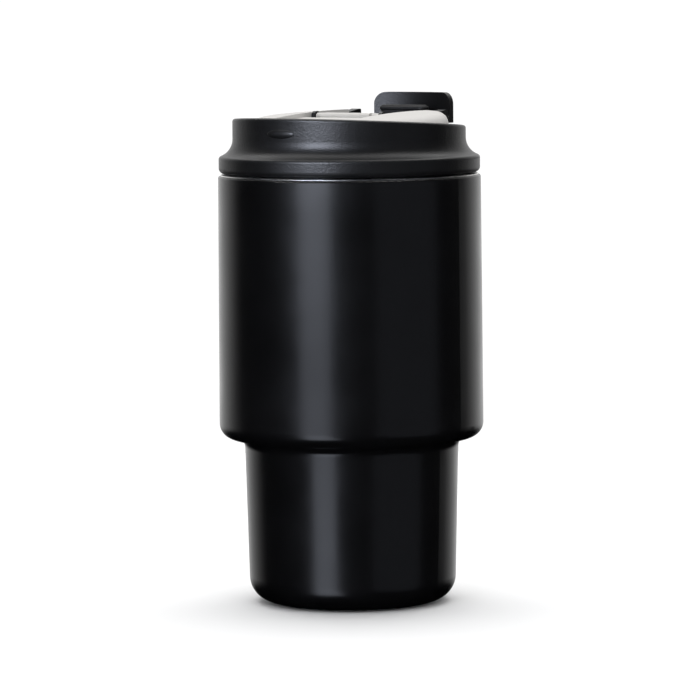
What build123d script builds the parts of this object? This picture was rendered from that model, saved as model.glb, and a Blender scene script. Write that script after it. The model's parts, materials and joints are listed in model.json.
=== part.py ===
from build123d import *
import os
from math import atan, cos, degrees, radians, sin, tan

os.makedirs("parts", exist_ok=True)

# Insulated travel mug: double-walled steel vessel with a stepped body, a push-in lid
# and a flip strap that is shown swung open. Millimetres, +Z up, origin at the centre of
# the foot. The spout faces -Y and the strap's hinge axis runs along X.

# ---- vessel: driving dimensions ----
STEEL = 0.5                # thickness of every steel wall
SHELL_FOOT_Z = 0.4         # the shell stands this far above the foot pad's face
FOOT_RADIUS = 34.3         # lower body at the foot
FOOT_ROUNDING = 8.5
LOWER_TOP_RADIUS = 35.7    # lower body where it meets the step
STEP_Z = 55.2              # underside of the wide upper body
STEP_ROUNDING = 5.0        # round edge of the upper body's underside
STEP_COVE = 3.1            # hollow corner between the lower body and the underside
UPPER_FOOT_RADIUS = 44.05
UPPER_TOP_RADIUS = 43.65
SHELL_TOP_Z = 142.6
SHELL_TOP_ROUNDING = 0.8
SHELL_TOP_BORE = 41.0      # the shell turns in under the liner's flange to here
MOUTH_Z = 143.0            # top face of the liner's flange
MOUTH_FLANGE_RADIUS = 42.9
LINER_UPPER_RADIUS = 40.0  # inside radii of the drink space
LINER_LOWER_RADIUS = 31.0
LINER_STEP_Z = 60.0
LINER_SKIRT_Z = 8.5
LINER_FLOOR_Z = 7.0
LINER_BASE_LAP = 6.0       # how far the liner's base reaches up inside the liner
BASE_LIP_RADIUS = 24.0
BASE_RISER_GAP = 0.6       # the base plate's riser stands inside the lip by this much
BASE_FLANGE_RADIUS = 25.6  # flat ring of the base plate, welded inside the shell's foot
BASE_PLATE_Z = 2.0
BASE_DIMPLE_RADIUS = 3.6
BASE_DIMPLE_DEPTH = 1.0
PUMP_HOLE_RADIUS = 0.75
PAD_RADIUS = 23.0
PAD_HEIGHT = 1.9
GETTER_OFFSET = 15.0
GETTER_RADIUS = 4.6
GETTER_THICKNESS = 1.5
GETTER_CUP_WALL = 0.35
GETTER_CUP_GAP = 0.1
GETTER_CUP_LEDGE = 1.0
SEAL_RADII = (2.6, 2.9)    # solder blob over the pump hole, tip and root
SEAL_DEPTH = 0.8
SEAL_NECK_HEIGHT = 0.3
PAD_RELIEF = 0.4           # depth of the centre relief and of the grooves
PAD_RELIEF_RADIUS = 5.0
PAD_GROOVE_RADII = (10.0, 14.4, 18.8)
PAD_GROOVE_WIDTH = 0.8

# ---- lid: driving dimensions ----
COLLAR_RADIUS = 43.4
COLLAR_FOOT_Z = 143.35
FLARE_SWEEP_DEG = 64.2      # how far the concave flare turns before the collar
NECK_RADIUS = 38.7
NECK_FOOT_RADIUS = 38.75   # the neck draws in from here to NECK_HEAD_RADIUS at z = BIG
NECK_HEAD_RADIUS = 38.6
FLARE_TOP_Z = 154.8
FLARE_RADIUS = 6.0
RIM_MID_Z = 160.1          # height of the sloped rim plane on the mug's axis
RIM_SLOPE = 0.062          # the rim rises towards the spout
RIM_BORE_RADIUS = 36.4
COVER_FLOOR = 2.0
COVER_WALL = 2.2
COVER_ROOF = 1.6           # wall over the cover's hollow
COLLAR_ROUNDINGS = (1.8, 1.2)
RIM_ROUNDINGS = (1.0, 0.6)
MERGE = 0.3                # how far pieces of one solid run into each other
SADDLE_Z = 158.3           # rear saddle that the open strap lies over
SADDLE_FRONT_Y = 22.6
SADDLE_HALF_WIDTH = 19.3
LUG_TOP_Z = 163.5
LUG_REAR_Y = 30.4
LUG_RAMP = (1.0, 6.2)       # how far the lug's ramp rises, and its length
LUG_INNER_X = 16.3
LUG_REAR_DRAFT = (0.4, 0.1)
DECK_RADIUS = 33.0
DECK_FLANGE_RADIUS = 36.2
DECK_FOOT_Z = 155.5
DECK_FLANGE_Z = 157.0
DECK_GAP = 0.3             # free gap round the deck's island
DECK_POCKET_X = (17.8, 30.5)
DECK_POCKET_Y = (-24.0, 23.0)
DECK_POCKET_HEIGHT = 3.0
DECK_WALL = 1.8
DOME_RADIUS = 394.0
DOME_APEX_Y = 18.0
DOME_APEX_Z = 163.85
CHANNEL_HALF_WIDTH = 16.0
CHANNEL_FLOOR_Z = 158.3
WELL_TOP_Z = 161.6
WELL_FLOOR_Z = 160.2
WELL_FLAT_Y = -26.0
WELL_POCKET_HALF_WIDTH = 13.5
WELL_POCKET_Y = (-25.0, -5.0)
WELL_SKIN = 1.5
HINGE_BLOCK_HALF_WIDTH = 9.8
HINGE_BLOCK_DEPTH = 5.2
HINGE_BLOCK_TOP_Z = 163.1
HINGE_BLOCK_ROUNDING = 1.2
KNUCKLE_ROOM = 0.8         # the knuckle slots reach this far past the hinge block
HINGE_BARREL_RADIUS = 1.15   # stub round the pin, from the block to each knuckle
HINGE_BARREL_HALF_LENGTH = 12.6
DECK_ROUNDING = 3.8
PORT_Y = -32.2
PORT_LENGTH = 20.0
PORT_WIDTH = 5.6
PORT_WALL = 1.3
VENT_Y = -13.0
VENT_PLUG_RADIUS = 2.2
VENT_BOSS_WALL = 2.6
VENT_HEAD_HEIGHT = 0.5
VENT_FLANGE = 1.0          # how far the valve's flange stands out under the floor
VENT_FLANGE_GAP = 0.2
VENT_FLANGE_Z = (3.0, 1.8) # the flange's foot and top, below the well's floor
VENT_STEM_RADIUS = 1.4
VENT_STEM_DROP = 7.0       # how far the stem hangs below the deck's foot
VENT_BORE = 0.5
VENT_TUBE_RADII = (3.2, 1.5)
VENT_TUBE_DROP = 3.5
PLUG_FOOT_Z = 126.0
PLUG_FLOOR = 1.8
PLUG_RADIUS = 37.2
PLUG_BORE_RADIUS = 35.4
PLUG_FLANGE_RADIUS = 38.8
PLUG_FLANGE_HEIGHT = 1.2
PLUG_LEDGE = 1.5           # height of the slope between the plug's two bores
PORT_SEAL_HEIGHT = 0.9
DUCT_FOOT = 0.5            # the port's duct starts this far above the plug's foot
DUCT_INSET = 0.8
FOAM_GAP = 0.4
FOAM_FLOOR_GAP = 0.3
FOAM_TOP_GAP = 1.2
FOAM_CUT_HALF_WIDTH = 12.2
FOAM_VENT_RADIUS = 4.0
GASKET_FOOT_Z = 131.2
GASKET_TOP_Z = 138.8
GASKET_LIP_RADIUS = 39.7
PLUG_NECK_BORE = 34.6
PLUG_NECK_RADIUS = 36.3
PLUG_NECK_Z = 141.5
BEAD_Z = 157.3
BEAD_HALF_SIZE = (5.4, 1.1, 1.7)

# ---- strap: driving dimensions, in the open position ----
HINGE_Z = 161.9
PIN_RADIUS = 0.75
PIN_CLEARANCE = 0.05
PIN_HALF_LENGTH = 14.1
KNUCKLE_RADIUS = 1.7
KNUCKLE_INNER_X = 12.9
KNUCKLE_OUTER_X = 14.2
STRAP_HALF_WIDTH = 15.5
STRAP_FOOT_Z = 158.8
STRAP_THICKNESS = 1.8
STRAP_ROOT_Y = 4.2
STRAP_ROOT_ROUNDING = 1.2
STRAP_ARM_LAP = 1.0
STRAP_HEEL_Y = 1.6         # where the knuckle arm's heel starts
PIN_CHAMFER = 0.15
LIP_BORE_RADIUS = 39.7
LIP_RADIUS = 41.9
LIP_TOP_Z = 169.0
LIP_CORNER = 4.0
STOPPER_HEIGHT = 4.3
STOPPER_GAP = 0.4          # free clearance of the stopper in the port
STOPPER_BEAD = 0.45        # how far its sealing bead stands out
STOPPER_BEAD_DROP = 1.1    # the bead's middle, below the stopper's top
STOPPER_BEAD_HALF = 0.7
STOPPER_BEAD_ROUNDING = 0.6
STOPPER_ROUNDING = 0.7
STOPPER_STEM = (9.0, 2.4)
STOPPER_HEAD = (13.0, 4.6)
STOPPER_HEAD_THICKNESS = 0.8

RIM_TILT_DEG = degrees(atan(RIM_SLOPE))
STRAP_TOP_Z = STRAP_FOOT_Z + STRAP_THICKNESS
BIG = 200.0


def profile(points):
    """Closed section in the XZ plane from (radius, height, corner rounding) points."""
    outline = Polyline(*[(r, 0, z) for r, z, _ in points], close=True)
    face = make_face(outline)
    for r, z, rounding in points:
        if rounding > 0:
            corner = face.vertices().sort_by_distance((r, 0, z))[0]
            face = fillet(corner, rounding)
    return face


def turned(points):
    """Solid of revolution about the mug's axis."""
    return revolve(profile(points), Axis.Z)


def block(x0, x1, y0, y1, z0, z1):
    """Box between two corners."""
    centre = Pos((x0 + x1) / 2, (y0 + y1) / 2, (z0 + z1) / 2)
    return centre * Box(x1 - x0, y1 - y0, z1 - z0)


def post(radius, z0, z1, x=0.0, y=0.0):
    """Upright cylinder."""
    return Pos(x, y, (z0 + z1) / 2) * Cylinder(radius, z1 - z0)


def slot_block(length, width, z0, z1, y):
    """Upright block with a round-ended section, long side along X."""
    section = Pos(0, y, z0) * SlotOverall(length, width)
    return extrude(section, amount=z1 - z0)


def rod(radius, x0, x1, y, z):
    """Cylinder along X."""
    return Pos((x0 + x1) / 2, y, z) * Rot(0, 90, 0) * Cylinder(radius, x1 - x0)


def above_rim():
    """Everything above the sloped rim plane."""
    tilt = Rot(-RIM_TILT_DEG, 0, 0)
    return Pos(0, 0, RIM_MID_Z) * tilt * Pos(0, 0, BIG / 2) * Box(BIG, BIG, BIG)


def outer_shell():
    return turned([
        (BASE_LIP_RADIUS, SHELL_FOOT_Z, 0),
        (FOOT_RADIUS, SHELL_FOOT_Z, FOOT_ROUNDING),
        (LOWER_TOP_RADIUS, STEP_Z, STEP_COVE),
        (UPPER_FOOT_RADIUS, STEP_Z, STEP_ROUNDING),
        (UPPER_TOP_RADIUS, SHELL_TOP_Z, SHELL_TOP_ROUNDING),
        (SHELL_TOP_BORE, SHELL_TOP_Z, 0),
        (SHELL_TOP_BORE, SHELL_TOP_Z - STEEL, 0),
        (UPPER_TOP_RADIUS - STEEL, SHELL_TOP_Z - STEEL, SHELL_TOP_ROUNDING - STEEL),
        (UPPER_FOOT_RADIUS - STEEL, STEP_Z + STEEL, STEP_ROUNDING - STEEL),
        (LOWER_TOP_RADIUS - STEEL, STEP_Z + STEEL, STEP_COVE + STEEL),
        (FOOT_RADIUS - STEEL, SHELL_FOOT_Z + STEEL, FOOT_ROUNDING - STEEL),
        (BASE_LIP_RADIUS, SHELL_FOOT_Z + STEEL, 0),
    ])


def outer_base():
    flange_z = SHELL_FOOT_Z + STEEL
    riser = BASE_LIP_RADIUS - BASE_RISER_GAP
    dimple_z = BASE_PLATE_Z + BASE_DIMPLE_DEPTH
    return turned([
        (PUMP_HOLE_RADIUS, dimple_z, 0),
        (BASE_DIMPLE_RADIUS, dimple_z, 0),
        (BASE_DIMPLE_RADIUS, BASE_PLATE_Z, 0),
        (riser, BASE_PLATE_Z, 0),
        (riser, flange_z, 0),
        (BASE_FLANGE_RADIUS, flange_z, 0),
        (BASE_FLANGE_RADIUS, flange_z + STEEL, 0),
        (riser + STEEL, flange_z + STEEL, 0),
        (riser + STEEL, BASE_PLATE_Z + STEEL, 0),
        (BASE_DIMPLE_RADIUS + STEEL, BASE_PLATE_Z + STEEL, 0),
        (BASE_DIMPLE_RADIUS + STEEL, dimple_z + STEEL, 0),
        (PUMP_HOLE_RADIUS, dimple_z + STEEL, 0),
    ])


def inner_liner():
    return turned([
        (LINER_LOWER_RADIUS, LINER_SKIRT_Z, 0),
        (LINER_LOWER_RADIUS + STEEL, LINER_SKIRT_Z, 0),
        (LINER_LOWER_RADIUS + STEEL, LINER_STEP_Z - STEEL, 3.0),
        (LINER_UPPER_RADIUS + STEEL, LINER_STEP_Z - STEEL, 4.5),
        (LINER_UPPER_RADIUS + STEEL, SHELL_TOP_Z, 0),
        (MOUTH_FLANGE_RADIUS, SHELL_TOP_Z, 0),
        (MOUTH_FLANGE_RADIUS, MOUTH_Z, 0.3),
        (LINER_UPPER_RADIUS, MOUTH_Z, 0.35),
        (LINER_UPPER_RADIUS, LINER_STEP_Z, 4.0),
        (LINER_LOWER_RADIUS, LINER_STEP_Z, 3.5),
    ])


def liner_base():
    wall = LINER_LOWER_RADIUS
    return turned([
        (0, LINER_FLOOR_Z - STEEL, 0),
        (wall, LINER_FLOOR_Z - STEEL, 4.0),
        (wall, LINER_SKIRT_Z + LINER_BASE_LAP, 0),
        (wall - STEEL, LINER_SKIRT_Z + LINER_BASE_LAP, 0),
        (wall - STEEL, LINER_FLOOR_Z, 3.5),
        (0, LINER_FLOOR_Z, 0),
    ])


def getter_cup():
    roof = LINER_FLOOR_Z - STEEL
    hollow_z = roof - GETTER_CUP_GAP - GETTER_THICKNESS
    cup = post(GETTER_RADIUS + GETTER_CUP_WALL, hollow_z - GETTER_CUP_WALL, roof, GETTER_OFFSET)
    cup -= post(GETTER_RADIUS, hollow_z, roof, GETTER_OFFSET)
    return cup - post(GETTER_RADIUS - GETTER_CUP_LEDGE, 0, roof, GETTER_OFFSET)


def getter():
    top = LINER_FLOOR_Z - STEEL - GETTER_CUP_GAP
    return post(GETTER_RADIUS - GETTER_CUP_GAP, top - GETTER_THICKNESS, top, GETTER_OFFSET)


def vacuum_seal():
    top = BASE_PLATE_Z + BASE_DIMPLE_DEPTH
    return turned([
        (0, top - SEAL_DEPTH, 0),
        (SEAL_RADII[0], top - SEAL_DEPTH, SEAL_DEPTH / 2),
        (SEAL_RADII[1], top, 0),
        (PUMP_HOLE_RADIUS, top, 0),
        (PUMP_HOLE_RADIUS, top + SEAL_NECK_HEIGHT, 0),
        (0, top + SEAL_NECK_HEIGHT, 0),
    ])


def foot_pad():
    pad = turned([
        (0, PAD_RELIEF, 0),
        (PAD_RELIEF_RADIUS, PAD_RELIEF, 0),
        (PAD_RELIEF_RADIUS + PAD_RELIEF, 0, 0),
        (PAD_RADIUS, 0, 0.5),
        (PAD_RADIUS, PAD_HEIGHT, 0),
        (0, PAD_HEIGHT, 0),
    ])
    for ring in PAD_GROOVE_RADII:
        groove = post(ring + PAD_GROOVE_WIDTH, -1.0, PAD_RELIEF)
        pad -= groove - post(ring, -2.0, 1.0)
    return pad


def lid_lug(side):
    """Ramped lug beside the saddle that keeps the open strap central."""
    section = Polyline(
        (0, SADDLE_FRONT_Y, SADDLE_Z - 1),
        (0, SADDLE_FRONT_Y, LUG_TOP_Z - LUG_RAMP[0]),
        (0, SADDLE_FRONT_Y + LUG_RAMP[1], LUG_TOP_Z),
        (0, LUG_REAR_Y - LUG_REAR_DRAFT[0], LUG_TOP_Z - LUG_REAR_DRAFT[1]),
        (0, LUG_REAR_Y, SADDLE_Z - 1),
        close=True,
    )
    width = SADDLE_HALF_WIDTH - LUG_INNER_X
    lug = extrude(make_face(section), amount=width / 2, dir=(1, 0, 0), both=True)
    return Pos(side * (LUG_INNER_X + width / 2), 0, 0) * lug


def lid_cover():
    flare_x = NECK_FOOT_RADIUS + FLARE_RADIUS
    sweep = radians(FLARE_SWEEP_DEG)
    waist_r = flare_x - FLARE_RADIUS * cos(sweep)
    waist_z = FLARE_TOP_Z - FLARE_RADIUS * sin(sweep)
    shoulder_z = waist_z - (COLLAR_RADIUS - waist_r) / tan(sweep)
    collar = Polyline(
        (RIM_BORE_RADIUS, 0, COLLAR_FOOT_Z),
        (COLLAR_RADIUS, 0, COLLAR_FOOT_Z),
        (COLLAR_RADIUS, 0, shoulder_z),
        (waist_r, 0, waist_z),
    )
    flare = ThreePointArc(
        (waist_r, 0, waist_z),
        (flare_x - FLARE_RADIUS * cos(sweep / 2), 0, FLARE_TOP_Z - FLARE_RADIUS * sin(sweep / 2)),
        (NECK_FOOT_RADIUS, 0, FLARE_TOP_Z),
    )
    neck = Polyline(
        (NECK_FOOT_RADIUS, 0, FLARE_TOP_Z),
        (NECK_HEAD_RADIUS, 0, BIG),
        (RIM_BORE_RADIUS, 0, BIG),
        (RIM_BORE_RADIUS, 0, COLLAR_FOOT_Z),
    )
    face = make_face(Wire([*collar.edges(), *flare.edges(), *neck.edges()]))
    for height, rounding in zip((COLLAR_FOOT_Z, shoulder_z), COLLAR_ROUNDINGS):
        corner = face.vertices().sort_by_distance((COLLAR_RADIUS, 0, height))[0]
        face = fillet(corner, rounding)
    cover = revolve(face, Axis.Z)
    hollow = turned([
        (RIM_BORE_RADIUS - 1, COLLAR_FOOT_Z + COVER_FLOOR, 0),
        (COLLAR_RADIUS - COVER_WALL, COLLAR_FOOT_Z + COVER_FLOOR, 1.0),
        (COLLAR_RADIUS - COVER_WALL, shoulder_z - COVER_ROOF, 1.0),
        (RIM_BORE_RADIUS - 1, FLARE_TOP_Z - COVER_ROOF, 0),
    ])
    cover -= hollow
    cover -= above_rim()
    top_edges = cover.edges().filter_by(lambda e: e.center().Z > RIM_MID_Z - 3)
    top_edges = top_edges.filter_by(lambda e: e.geom_type == GeomType.ELLIPSE or e.length > 200)
    outer = top_edges.sort_by(lambda e: e.length)[-1:]
    inner = top_edges.sort_by(lambda e: e.length)[:1]
    cover = fillet(outer, RIM_ROUNDINGS[0])
    inner_again = cover.edges().sort_by_distance(inner[0] @ 0.3)[0]
    cover = fillet(inner_again, RIM_ROUNDINGS[1])
    bead = Pos(0, 0.5 - NECK_RADIUS, BEAD_Z) * scale(Sphere(1), by=BEAD_HALF_SIZE)
    cover += bead - post(NECK_RADIUS - 1, COLLAR_FOOT_Z, BIG)
    saddle = block(-SADDLE_HALF_WIDTH, SADDLE_HALF_WIDTH, SADDLE_FRONT_Y, BIG, DECK_FOOT_Z, SADDLE_Z)
    cover += saddle & post(RIM_BORE_RADIUS + MERGE, 0, BIG)
    for side in (-1, 1):
        cover += lid_lug(side)
    return cover


def lid_deck():
    dome = Pos(0, DOME_APEX_Y, DOME_APEX_Z - DOME_RADIUS) * Sphere(DOME_RADIUS)
    deck = post(DECK_RADIUS, DECK_FOOT_Z, BIG) & dome
    rim = deck.edges().sort_by(lambda e: -e.length)
    rim = rim.filter_by(lambda e: e.center().Z > DECK_FLANGE_Z)[0]
    deck = fillet(rim, DECK_ROUNDING)
    deck += post(DECK_FLANGE_RADIUS, DECK_FOOT_Z, DECK_FLANGE_Z)
    front = block(-CHANNEL_HALF_WIDTH, CHANNEL_HALF_WIDTH, -BIG, WELL_FLAT_Y, DECK_FOOT_Z, WELL_FLOOR_Z)
    deck += front & post(DECK_FLANGE_RADIUS, 0, BIG)
    half = CHANNEL_HALF_WIDTH
    knuckle_y = -HINGE_BLOCK_DEPTH / 2 - KNUCKLE_ROOM
    rear = block(-half, half, HINGE_BLOCK_DEPTH / 2, BIG, CHANNEL_FLOOR_Z, BIG)
    sides = block(-half, half, knuckle_y, HINGE_BLOCK_DEPTH, CHANNEL_FLOOR_Z, BIG)
    sides -= block(-HINGE_BLOCK_HALF_WIDTH, HINGE_BLOCK_HALF_WIDTH, -BIG, BIG, 0, 2 * BIG)
    well = extrude(make_face(Polyline(
        (0, -HINGE_BLOCK_DEPTH / 2, WELL_TOP_Z),
        (0, WELL_FLAT_Y, WELL_FLOOR_Z),
        (0, -DECK_FLANGE_RADIUS - 1, WELL_FLOOR_Z),
        (0, -DECK_FLANGE_RADIUS - 1, BIG),
        (0, -HINGE_BLOCK_DEPTH / 2, BIG),
        close=True,
    )), amount=half, dir=(1, 0, 0), both=True)
    deck -= rear + sides + well
    deck -= block(-BIG, BIG, -HINGE_BLOCK_DEPTH / 2, HINGE_BLOCK_DEPTH / 2, HINGE_BLOCK_TOP_Z, BIG) & block(
        -half, half, -BIG, BIG, 0, BIG)
    hinge_edges = deck.edges().filter_by(Axis.X).filter_by(
        lambda e: abs(e.center().Z - HINGE_BLOCK_TOP_Z) < 0.01)
    deck = fillet(hinge_edges, HINGE_BLOCK_ROUNDING)
    notch = SADDLE_HALF_WIDTH + DECK_GAP
    deck -= block(-notch, notch, SADDLE_FRONT_Y - DECK_GAP, BIG, 0, BIG)
    deck += rod(HINGE_BARREL_RADIUS, -HINGE_BARREL_HALF_LENGTH, HINGE_BARREL_HALF_LENGTH, 0, HINGE_Z)
    deck -= rod(PIN_RADIUS, -PIN_HALF_LENGTH, PIN_HALF_LENGTH, 0, HINGE_Z)
    deck -= slot_block(PORT_LENGTH, PORT_WIDTH, 0, BIG, PORT_Y)
    pocket = block(*DECK_POCKET_X, *DECK_POCKET_Y, 0, DECK_FLANGE_Z + DECK_POCKET_HEIGHT)
    pocket &= post(DECK_RADIUS - DECK_WALL, 0, BIG)
    deck -= pocket + mirror(pocket, Plane.YZ)
    half = WELL_POCKET_HALF_WIDTH
    deck -= block(-half, half, *WELL_POCKET_Y, 0, WELL_FLOOR_Z - WELL_SKIN)
    deck += post(VENT_PLUG_RADIUS + VENT_BOSS_WALL, DECK_FOOT_Z, WELL_FLOOR_Z - MERGE, 0, VENT_Y)
    deck -= post(VENT_PLUG_RADIUS, 0, BIG, 0, VENT_Y)
    socket = VENT_PLUG_RADIUS + VENT_FLANGE + VENT_FLANGE_GAP
    return deck - post(socket, 0, WELL_FLOOR_Z - VENT_FLANGE_Z[1], 0, VENT_Y)


def lid_inner():
    plug = turned([
        (0, PLUG_FOOT_Z, 0),
        (PLUG_RADIUS, PLUG_FOOT_Z, 1.2),
        (PLUG_RADIUS, GASKET_FOOT_Z - PLUG_FLANGE_HEIGHT, 0),
        (PLUG_FLANGE_RADIUS, GASKET_FOOT_Z - PLUG_FLANGE_HEIGHT, 0),
        (PLUG_FLANGE_RADIUS, GASKET_FOOT_Z, 0),
        (PLUG_RADIUS, GASKET_FOOT_Z, 0),
        (PLUG_RADIUS, GASKET_TOP_Z, 0),
        (PLUG_FLANGE_RADIUS, GASKET_TOP_Z, 0),
        (PLUG_FLANGE_RADIUS, COLLAR_FOOT_Z, 0),
        (PLUG_NECK_RADIUS, COLLAR_FOOT_Z, 0),
        (PLUG_NECK_RADIUS, DECK_FOOT_Z, 0),
        (PLUG_NECK_BORE, DECK_FOOT_Z, 0),
        (PLUG_NECK_BORE, PLUG_NECK_Z, 0),
        (PLUG_BORE_RADIUS, PLUG_NECK_Z - PLUG_LEDGE, 0),
        (PLUG_BORE_RADIUS, PLUG_FOOT_Z + PLUG_FLOOR, 0.8),
        (0, PLUG_FOOT_Z + PLUG_FLOOR, 0),
    ])
    duct_top = DECK_FOOT_Z - PORT_SEAL_HEIGHT
    duct_foot = PLUG_FOOT_Z + DUCT_FOOT
    duct = slot_block(
        PORT_LENGTH + 2 * PORT_WALL, PORT_WIDTH + 2 * PORT_WALL, duct_foot, duct_top, PORT_Y)
    plug += duct & post(PLUG_RADIUS - DUCT_INSET, 0, BIG)
    plug -= post(PLUG_NECK_RADIUS, duct_top, DECK_FOOT_Z) & port_keepout()
    plug -= slot_block(PORT_LENGTH, PORT_WIDTH, 0, BIG, PORT_Y)
    plug += post(VENT_TUBE_RADII[0], duct_foot, DECK_FOOT_Z - VENT_TUBE_DROP, 0, VENT_Y)
    return plug - post(VENT_TUBE_RADII[1], 0, BIG, 0, VENT_Y)


def port_keepout():
    """Space round the drinking port that the port seal fills."""
    length = PORT_LENGTH + 2 * PORT_WALL
    width = PORT_WIDTH + 2 * PORT_WALL
    return slot_block(length, width, DECK_FOOT_Z - PORT_SEAL_HEIGHT, DECK_FOOT_Z, PORT_Y)


def port_seal():
    ring = port_keepout() & post(PLUG_NECK_RADIUS, 0, BIG)
    return ring - slot_block(PORT_LENGTH, PORT_WIDTH, 0, BIG, PORT_Y)


def lid_insulation():
    floor = PLUG_FOOT_Z + PLUG_FLOOR + FOAM_FLOOR_GAP
    roof = DECK_FOOT_Z - FOAM_TOP_GAP
    wide = PLUG_BORE_RADIUS - FOAM_GAP
    narrow = PLUG_NECK_BORE - FOAM_GAP
    foam = turned([
        (0, floor, 0),
        (wide, floor, 1.5),
        (wide, PLUG_NECK_Z - PLUG_LEDGE - 1.0, 0),
        (narrow, PLUG_NECK_Z - 1.0, 0),
        (narrow, roof, 1.0),
        (0, roof, 0),
    ])
    wall = 2 * (PORT_WALL + FOAM_GAP)
    foam -= slot_block(PORT_LENGTH + wall, PORT_WIDTH + wall, 0, BIG, PORT_Y)
    foam -= block(-FOAM_CUT_HALF_WIDTH, FOAM_CUT_HALF_WIDTH, -BIG, PORT_Y, 0, BIG)
    return foam - post(FOAM_VENT_RADIUS, 0, BIG, 0, VENT_Y)


def lid_gasket():
    height = GASKET_TOP_Z - GASKET_FOOT_Z
    lip = GASKET_LIP_RADIUS
    body = PLUG_FLANGE_RADIUS - 0.5
    return turned([
        (PLUG_RADIUS, GASKET_FOOT_Z, 0),
        (body, GASKET_FOOT_Z, 0.3),
        (body, GASKET_FOOT_Z + 0.1 * height, 0),
        (lip, GASKET_FOOT_Z + 0.30 * height, 0.2),
        (body, GASKET_FOOT_Z + 0.42 * height, 0),
        (body, GASKET_FOOT_Z + 0.54 * height, 0),
        (lip, GASKET_FOOT_Z + 0.76 * height, 0.2),
        (body, GASKET_FOOT_Z + 0.88 * height, 0),
        (body, GASKET_TOP_Z, 0.3),
        (PLUG_RADIUS, GASKET_TOP_Z, 0),
    ])


def vent_valve():
    floor = WELL_FLOOR_Z
    flange_foot, flange_top = (floor - drop for drop in VENT_FLANGE_Z)
    valve = post(VENT_PLUG_RADIUS, flange_top, floor + VENT_HEAD_HEIGHT, 0, VENT_Y)
    valve += post(VENT_PLUG_RADIUS + VENT_FLANGE, flange_foot, flange_top, 0, VENT_Y)
    valve += post(VENT_STEM_RADIUS, DECK_FOOT_Z - VENT_STEM_DROP, flange_top, 0, VENT_Y)
    return valve - post(VENT_BORE, 0, BIG, 0, VENT_Y)


def hinge_pin():
    pin = rod(PIN_RADIUS, -PIN_HALF_LENGTH, PIN_HALF_LENGTH, 0, HINGE_Z)
    return chamfer(pin.edges(), PIN_CHAMFER)


def flip_strap():
    half = STRAP_HALF_WIDTH
    plate = block(-half, half, STRAP_ROOT_Y, BIG, STRAP_FOOT_Z, STRAP_TOP_Z)
    plate &= post(LIP_RADIUS, 0, BIG)
    lip = post(LIP_RADIUS, STRAP_FOOT_Z, LIP_TOP_Z) - post(LIP_BORE_RADIUS, 0, BIG)
    height = 2 * (LIP_TOP_Z - STRAP_FOOT_Z)
    window = Pos(0, LIP_RADIUS, STRAP_FOOT_Z) * Rot(90, 0, 0) * RectangleRounded(2 * half, height, LIP_CORNER)
    lip &= extrude(window, amount=15, both=True)
    strap = plate + lip
    root = strap.edges().filter_by(lambda e: abs(e.center().Z - STRAP_TOP_Z) < 0.01)
    root = root.sort_by_distance((0, LIP_BORE_RADIUS, STRAP_TOP_Z))[0]
    strap = fillet(root, STRAP_ROOT_ROUNDING)
    arm_end = STRAP_ROOT_Y + STRAP_ARM_LAP
    for side in (-1, 1):
        x0, x1 = sorted((side * KNUCKLE_INNER_X, side * KNUCKLE_OUTER_X))
        strap += rod(KNUCKLE_RADIUS, x0, x1, 0, HINGE_Z)
        strap += block(x0, x1, 0, arm_end, HINGE_Z - KNUCKLE_RADIUS, STRAP_TOP_Z)
        strap += block(x0, x1, STRAP_HEEL_Y, arm_end, STRAP_FOOT_Z, STRAP_TOP_Z)
    strap -= rod(PIN_RADIUS + PIN_CLEARANCE, -BIG, BIG, 0, HINGE_Z)
    strap -= slot_block(*STOPPER_STEM, 0, BIG, -PORT_Y)
    return strap - slot_block(*STOPPER_HEAD, 0, STRAP_FOOT_Z + STOPPER_HEAD_THICKNESS, -PORT_Y)


def strap_stopper():
    length = PORT_LENGTH - 2 * STOPPER_GAP
    width = PORT_WIDTH - 2 * STOPPER_GAP
    top = STRAP_TOP_Z + STOPPER_HEIGHT
    bead_z = top - STOPPER_BEAD_DROP
    inset = 2 * STOPPER_BEAD
    stopper = slot_block(length - inset, width - inset, STRAP_TOP_Z, top, -PORT_Y)
    stopper = fillet(stopper.faces().sort_by(Axis.Z)[-1].edges(), STOPPER_ROUNDING)
    bead = slot_block(length, width, bead_z - STOPPER_BEAD_HALF, bead_z + STOPPER_BEAD_HALF, -PORT_Y)
    bead = fillet(bead.faces().sort_by(Axis.Z)[-1].edges(), STOPPER_BEAD_ROUNDING)
    bead = fillet(bead.faces().sort_by(Axis.Z)[0].edges(), STOPPER_BEAD_ROUNDING)
    stopper += bead
    stopper += slot_block(*STOPPER_STEM, STRAP_FOOT_Z, STRAP_TOP_Z, -PORT_Y)
    head_top = STRAP_FOOT_Z + STOPPER_HEAD_THICKNESS
    return stopper + slot_block(*STOPPER_HEAD, STRAP_FOOT_Z, head_top, -PORT_Y)


NODES = {
    "outer_shell": outer_shell,
    "outer_base": outer_base,
    "inner_liner": inner_liner,
    "liner_base": liner_base,
    "getter_cup": getter_cup,
    "getter": getter,
    "vacuum_seal": vacuum_seal,
    "foot_pad": foot_pad,
    "lid_cover": lid_cover,
    "lid_deck": lid_deck,
    "lid_inner": lid_inner,
    "lid_insulation": lid_insulation,
    "lid_gasket": lid_gasket,
    "port_seal": port_seal,
    "vent_valve": vent_valve,
    "hinge_pin": hinge_pin,
    "flip_strap": flip_strap,
    "strap_stopper": strap_stopper,
}

for name, make in NODES.items():
    shape = make()
    shape.label = name
    export_step(shape, os.path.join("parts", name + ".step"))
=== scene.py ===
import json
import math

import bmesh
import bpy
from mathutils import Matrix, Vector

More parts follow.
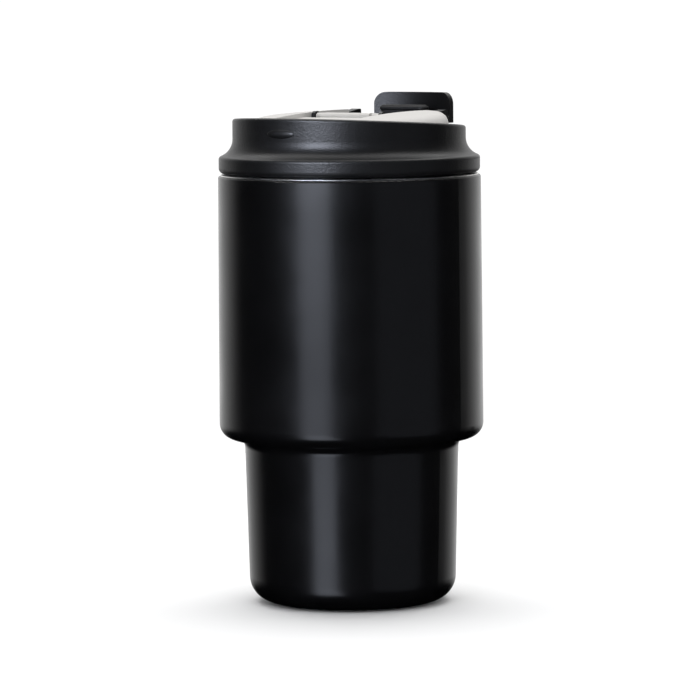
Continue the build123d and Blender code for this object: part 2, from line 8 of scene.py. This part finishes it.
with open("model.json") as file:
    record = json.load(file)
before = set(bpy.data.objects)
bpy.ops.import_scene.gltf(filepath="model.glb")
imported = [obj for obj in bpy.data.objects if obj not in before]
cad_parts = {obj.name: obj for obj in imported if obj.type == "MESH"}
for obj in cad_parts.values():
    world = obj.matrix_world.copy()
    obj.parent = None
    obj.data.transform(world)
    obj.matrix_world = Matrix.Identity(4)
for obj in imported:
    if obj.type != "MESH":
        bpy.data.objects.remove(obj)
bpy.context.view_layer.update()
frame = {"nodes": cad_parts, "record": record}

# Insulated travel mug: looks, floor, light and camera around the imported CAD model. Metres.

MM = 0.001

# ---- camera ----
CAMERA_AZIMUTH = math.radians(35.5)
CAMERA_DISTANCE = 1.4
CAMERA_HEIGHT = 0.206
CAMERA_PITCH = math.radians(4.975)
CAMERA_ROLL = math.radians(-0.5)
CAMERA_YAW = math.radians(0.013)  # turns the camera a little to the left of the axis
CAMERA_LENS = 216.8
SENSOR = 36.0
CLIP_NEAR = 0.05
CLIP_FAR = 50.0

# ---- studio ----
FLOOR_RADIUS = 0.45
FLOOR_SEGMENTS = 96
FLOOR_WHITE = 0.73
FLOOR_CLOUDING = 1.02         # how much lighter the floor's lightest patches are
SKY_WHITE = 1.15              # what reflections show behind the mug
SKY_DARK = 0.012              # what they show on the camera's side
SKY_EDGE = 0.40               # facing at which the dark starts to turn white
GROUND_FADE = (-0.30, -0.10)  # the white fades out between these slopes below level
TENT_WHITE = 0.7              # what lights the matt surfaces from all round
BACKDROP_WHITE = 1.05
WHITE = (1.0, 1.0, 1.0)
COOL = (0.91, 0.97, 1.12)     # tint of the strips
AIM_HEIGHT = 0.08             # every softbox faces this point of the mug's axis

# ---- looks ----
NOISE_MIDDLE = (0.3, 0.7)     # most of a noise's values lie between these


# ---------------------------------------------------------------- node helpers


class Nodes:
    """Short way to build a node tree."""

    def __init__(self, tree):
        self.tree = tree
        tree.nodes.clear()

    def add(self, kind, inputs=None, **settings):
        node = self.tree.nodes.new(kind)
        for name, value in settings.items():
            setattr(node, name, value)
        for name, value in (inputs or {}).items():
            if isinstance(value, bpy.types.NodeSocket):
                self.tree.links.new(value, node.inputs[name])
            else:
                node.inputs[name].default_value = value
        return node

    def math(self, operation, a, b=0.0, c=0.0):
        node = self.add("ShaderNodeMath", {0: a, 1: b, 2: c}, operation=operation)
        return node.outputs[0]

    def noise(self, vector, scale, detail=2.0, roughness=0.5):
        values = {"Vector": vector, "Scale": scale, "Detail": detail, "Roughness": roughness}
        return self.add("ShaderNodeTexNoise", values).outputs["Fac"]

    def span(self, value, low, high, lowest=0.0, highest=1.0):
        """Value from lowest..highest stretched to low..high."""
        values = {"Value": value, "From Min": lowest, "From Max": highest, "To Min": low, "To Max": high}
        return self.add("ShaderNodeMapRange", values).outputs["Result"]

    def blend(self, factor, first, second):
        node = self.add("ShaderNodeMix", data_type="RGBA")
        self.tree.links.new(factor, node.inputs["Factor"])
        node.inputs[6].default_value = (*first, 1.0)
        node.inputs[7].default_value = (*second, 1.0)
        return node.outputs[2]

    def bump(self, height, distance, strength=1.0):
        values = {"Height": height, "Distance": distance, "Strength": strength}
        return self.add("ShaderNodeBump", values).outputs["Normal"]

    def scaled(self, vector, factors):
        node = self.add("ShaderNodeVectorMath", {0: vector, 1: factors}, operation="MULTIPLY")
        return node.outputs[0]


def new_material(name):
    material = bpy.data.materials.new(name)
    material.use_nodes = True
    nodes = Nodes(material.node_tree)
    output = nodes.add("ShaderNodeOutputMaterial")
    shader = nodes.add("ShaderNodeBsdfPrincipled")
    nodes.tree.links.new(shader.outputs[0], output.inputs[0])
    place = nodes.add("ShaderNodeTexCoord").outputs["Object"]
    return material, nodes, shader, place


def join(nodes, shader, **links):
    """Links sockets to the shader's inputs, given as Base_Color, Roughness and so on."""
    for name, socket in links.items():
        nodes.tree.links.new(socket, shader.inputs[name.replace("_", " ")])


# ---------------------------------------------------------------- materials


def coated_steel():
    """Smooth satin black coat with a faint orange peel."""
    material, nodes, shader, place = new_material("black_coat")
    cloud = nodes.noise(place, 60.0, 3.0)
    peel = nodes.noise(place, 1100.0, 2.0)
    fine = nodes.noise(place, 5200.0, 1.0)
    height = nodes.math("MULTIPLY_ADD", fine, 0.25, peel)
    join(
        nodes, shader,
        Base_Color=nodes.blend(cloud, (0.0010, 0.0010, 0.0012), (0.0018, 0.0018, 0.0022)),
        Roughness=nodes.span(cloud, 0.22, 0.27, *NOISE_MIDDLE),
        Normal=nodes.bump(height, 0.010 * MM, 0.5),
    )
    shader.inputs["IOR"].default_value = 1.48
    return material


def bare_steel():
    """Stainless steel with fine lathe lines round the mug's axis."""
    material, nodes, shader, place = new_material("bare_steel")
    rings = nodes.noise(nodes.scaled(place, (40.0, 40.0, 9000.0)), 1.0, 3.0)
    stain = nodes.noise(place, 45.0, 3.0)
    join(
        nodes, shader,
        Base_Color=nodes.blend(stain, (0.58, 0.575, 0.56), (0.68, 0.675, 0.66)),
        Roughness=nodes.span(rings, 0.20, 0.34, *NOISE_MIDDLE),
        Normal=nodes.bump(rings, 0.006 * MM, 0.6),
    )
    shader.inputs["Metallic"].default_value = 1.0
    return material


def moulded(name, dark, light, roughness, grain, depth, gloss):
    """Moulded plastic with a spark-eroded grain: small rounded pits and mounds.

    grain is the number of cells per metre, depth the height of the mounds.
    """
    material, nodes, shader, place = new_material(name)
    cells = nodes.add("ShaderNodeTexVoronoi", {"Vector": place, "Scale": grain}, feature="SMOOTH_F1")
    mounds = nodes.noise(place, grain * 0.8, 2.0)
    height = nodes.math("MULTIPLY_ADD", cells.outputs["Distance"], 0.6, mounds)
    cloud = nodes.noise(place, 70.0, 3.0)
    mixed = nodes.math("MULTIPLY_ADD", mounds, 0.5, nodes.math("MULTIPLY", cloud, 0.5))
    join(
        nodes, shader,
        Base_Color=nodes.blend(mixed, dark, light),
        Roughness=nodes.span(mixed, *roughness, *NOISE_MIDDLE),
        Normal=nodes.bump(height, depth, 0.8),
    )
    shader.inputs["Specular IOR Level"].default_value = gloss
    return material


def silicone():
    """Matte black silicone with a light bloom of dust."""
    material, nodes, shader, place = new_material("black_silicone")
    dust = nodes.noise(place, 2600.0, 4.0, 0.7)
    cloud = nodes.noise(place, 160.0, 3.0)
    specks = nodes.span(nodes.math("MULTIPLY", dust, cloud), 0.0, 1.0, 0.28, 0.42)
    join(
        nodes, shader,
        Base_Color=nodes.blend(specks, (0.0035, 0.0035, 0.0038), (0.0100, 0.0100, 0.0100)),
        Roughness=nodes.span(dust, 0.52, 0.68, *NOISE_MIDDLE),
        Normal=nodes.bump(dust, 0.012 * MM, 0.5),
    )
    shader.inputs["Specular IOR Level"].default_value = 0.25
    return material


def solder_bead():
    """Rippled dull solder."""
    material, nodes, shader, place = new_material("solder")
    ripple = nodes.noise(place, 900.0, 3.0)
    join(
        nodes, shader,
        Base_Color=nodes.blend(ripple, (0.42, 0.42, 0.43), (0.60, 0.60, 0.61)),
        Roughness=nodes.span(ripple, 0.30, 0.48, *NOISE_MIDDLE),
        Normal=nodes.bump(ripple, 0.05 * MM, 0.6),
    )
    shader.inputs["Metallic"].default_value = 1.0
    return material


def sintered_getter():
    """Porous dark sintered metal."""
    material, nodes, shader, place = new_material("getter_metal")
    pores = nodes.noise(place, 3800.0, 4.0, 0.7)
    join(
        nodes, shader,
        Base_Color=nodes.blend(pores, (0.10, 0.10, 0.105), (0.30, 0.30, 0.31)),
        Roughness=nodes.span(pores, 0.55, 0.8, *NOISE_MIDDLE),
        Normal=nodes.bump(pores, 0.05 * MM, 0.8),
    )
    shader.inputs["Metallic"].default_value = 1.0
    return material


def bead_foam():
    """White foam of pressed beads with darker seams."""
    material, nodes, shader, place = new_material("foam")
    beads = nodes.add("ShaderNodeTexVoronoi", {"Vector": place, "Scale": 420.0}, feature="SMOOTH_F1")
    seams = nodes.span(beads.outputs["Distance"], 0.0, 1.0, 0.2, 0.9)
    join(
        nodes, shader,
        Base_Color=nodes.blend(seams, (0.86, 0.86, 0.84), (0.70, 0.70, 0.68)),
        Roughness=nodes.span(seams, 0.6, 0.8),
        Normal=nodes.bump(nodes.math("SUBTRACT", 1.0, seams), 0.25 * MM, 0.8),
    )
    return material


MATERIALS = {
    "black_coat": coated_steel(),
    "bare_steel": bare_steel(),
    "black_plastic": moulded(
        "black_plastic",
        dark=(0.0020, 0.0020, 0.0023), light=(0.0042, 0.0042, 0.0047),
        roughness=(0.34, 0.44), grain=1900.0, depth=0.065 * MM, gloss=0.32,
    ),
    "grey_plastic": moulded(
        "grey_plastic",
        dark=(0.385, 0.375, 0.36), light=(0.43, 0.42, 0.405),
        roughness=(0.60, 0.70), grain=3400.0, depth=0.008 * MM, gloss=0.2,
    ),
    "black_silicone": silicone(),
    "solder": solder_bead(),
    "getter_metal": sintered_getter(),
    "foam": bead_foam(),
}


def dress_frame():
    """Gives every CAD node the material of its slot in the record."""
    for part in frame["record"]["subparts"]:
        node = frame["nodes"][part["node"]]
        material = MATERIALS[part["material_slot"]]
        if not node.material_slots:
            node.data.materials.append(material)
        for place in node.material_slots:
            place.material = material


# ---------------------------------------------------------------- studio


def pale_floor():
    """Round white table top under the mug."""
    shape = bmesh.new()
    bmesh.ops.create_circle(shape, cap_ends=True, radius=FLOOR_RADIUS, segments=FLOOR_SEGMENTS)
    mesh = bpy.data.meshes.new("floor")
    shape.to_mesh(mesh)
    shape.free()
    floor = bpy.data.objects.new("floor", mesh)
    floor.visible_glossy = False
    floor.visible_shadow = False
    bpy.context.scene.collection.objects.link(floor)
    material, nodes, shader, place = new_material("floor")
    cloud = nodes.noise(place, 6.0, 2.0)
    tone = (FLOOR_WHITE,) * 3
    join(
        nodes, shader,
        Base_Color=nodes.blend(cloud, tone, tuple(FLOOR_CLOUDING * t for t in tone)),
        Roughness=nodes.span(cloud, 0.8, 0.9),
    )
    shader.inputs["Specular IOR Level"].default_value = 0.1
    mesh.materials.append(material)


def glow(nodes, strength):
    """White background shader of a strength, which is a number or a socket."""
    return nodes.add("ShaderNodeBackground", {"Color": (*WHITE, 1.0), "Strength": strength}).outputs[0]


def studio_world():
    """Reflections: white behind the mug, dark round the camera. Backdrop: plain white."""
    world = bpy.data.worlds.new("studio")
    bpy.context.scene.world = world
    world.use_nodes = True
    nodes = Nodes(world.node_tree)
    output = nodes.add("ShaderNodeOutputWorld")
    direction = nodes.add("ShaderNodeTexCoord").outputs["Generated"]
    away = (-math.sin(CAMERA_AZIMUTH), math.cos(CAMERA_AZIMUTH), 0.0)
    facing = nodes.add("ShaderNodeVectorMath", {0: direction, 1: away}, operation="DOT_PRODUCT")
    level = nodes.span(facing.outputs["Value"], SKY_DARK, SKY_WHITE, SKY_EDGE, 1.0)
    slope = nodes.add("ShaderNodeSeparateXYZ", {0: direction}).outputs["Z"]
    lowest, highest = GROUND_FADE
    ground = nodes.add(
        "ShaderNodeMapRange", {"Value": slope, "From Min": lowest, "From Max": highest},
        interpolation_type="SMOOTHSTEP",
    )
    room = glow(nodes, nodes.math("MULTIPLY", level, ground.outputs["Result"]))
    tent = glow(nodes, TENT_WHITE)
    backdrop = glow(nodes, BACKDROP_WHITE)
    path = nodes.add("ShaderNodeLightPath")
    lit = nodes.add("ShaderNodeMixShader", {0: path.outputs["Is Diffuse Ray"], 1: room, 2: tent})
    both = nodes.add(
        "ShaderNodeMixShader", {0: path.outputs["Is Camera Ray"], 1: lit.outputs[0], 2: backdrop})
    nodes.tree.links.new(both.outputs[0], output.inputs[0])


def softbox(name, azimuth, distance, height, width, tall, radiance, tint=WHITE):
    """Rectangular light at an azimuth in degrees round the mug, 0 being in front of the port."""
    lamp = bpy.data.lights.new(name, "AREA")
    lamp.shape = "RECTANGLE"
    lamp.size = width
    lamp.size_y = tall
    lamp.energy = radiance * math.pi * width * tall
    lamp.color = tint
    box = bpy.data.objects.new(name, lamp)
    bpy.context.scene.collection.objects.link(box)
    angle = math.radians(azimuth)
    box.location = (distance * math.sin(angle), -distance * math.cos(angle), height)
    aim = Vector((0.0, 0.0, AIM_HEIGHT)) - box.location
    box.rotation_euler = aim.to_track_quat("-Z", "Y").to_euler()
    box.visible_camera = False
    return box


def studio_lights():
    softbox("key_strip", 4.6, 1.2, height=0.25, width=0.62, tall=0.72, radiance=1.25, tint=COOL)
    softbox("key_low", 5.4, 1.2, height=-0.50, width=0.58, tall=0.80, radiance=2.3, tint=COOL)
    top = softbox("key_top", 4.4, 0.5, height=0.305, width=0.27, tall=0.26, radiance=20.0, tint=COOL)
    top.visible_diffuse = False
    softbox("fill_strip", 86.0, 1.3, height=0.25, width=1.5, tall=1.9, radiance=0.145, tint=COOL)
    softbox("overhead", 215.5, 0.35, height=1.20, width=1.5, tall=1.1, radiance=3.4)
    front = softbox("front_fill", 35.5, 1.8, height=0.9, width=2.2, tall=1.6, radiance=2.0)
    front.visible_glossy = False


def main_camera():
    lens = bpy.data.cameras.new("main")
    lens.lens = CAMERA_LENS
    lens.sensor_width = SENSOR
    lens.clip_start = CLIP_NEAR
    lens.clip_end = CLIP_FAR
    camera = bpy.data.objects.new("main", lens)
    bpy.context.scene.collection.objects.link(camera)
    turn = Matrix.Rotation(CAMERA_AZIMUTH + CAMERA_YAW, 3, "Z")
    tilt = Matrix.Rotation(math.pi / 2 - CAMERA_PITCH, 3, "X")
    roll = Matrix.Rotation(CAMERA_ROLL, 3, "Z")
    camera.rotation_euler = (turn @ tilt @ roll).to_euler()
    sideways = CAMERA_DISTANCE * math.sin(CAMERA_AZIMUTH)
    camera.location = (sideways, -CAMERA_DISTANCE * math.cos(CAMERA_AZIMUTH), CAMERA_HEIGHT)
    bpy.context.scene.camera = camera


# ---------------------------------------------------------------- the scene

bpy.context.scene.view_settings.view_transform = "Standard"
dress_frame()
pale_floor()
studio_world()
studio_lights()
main_camera()
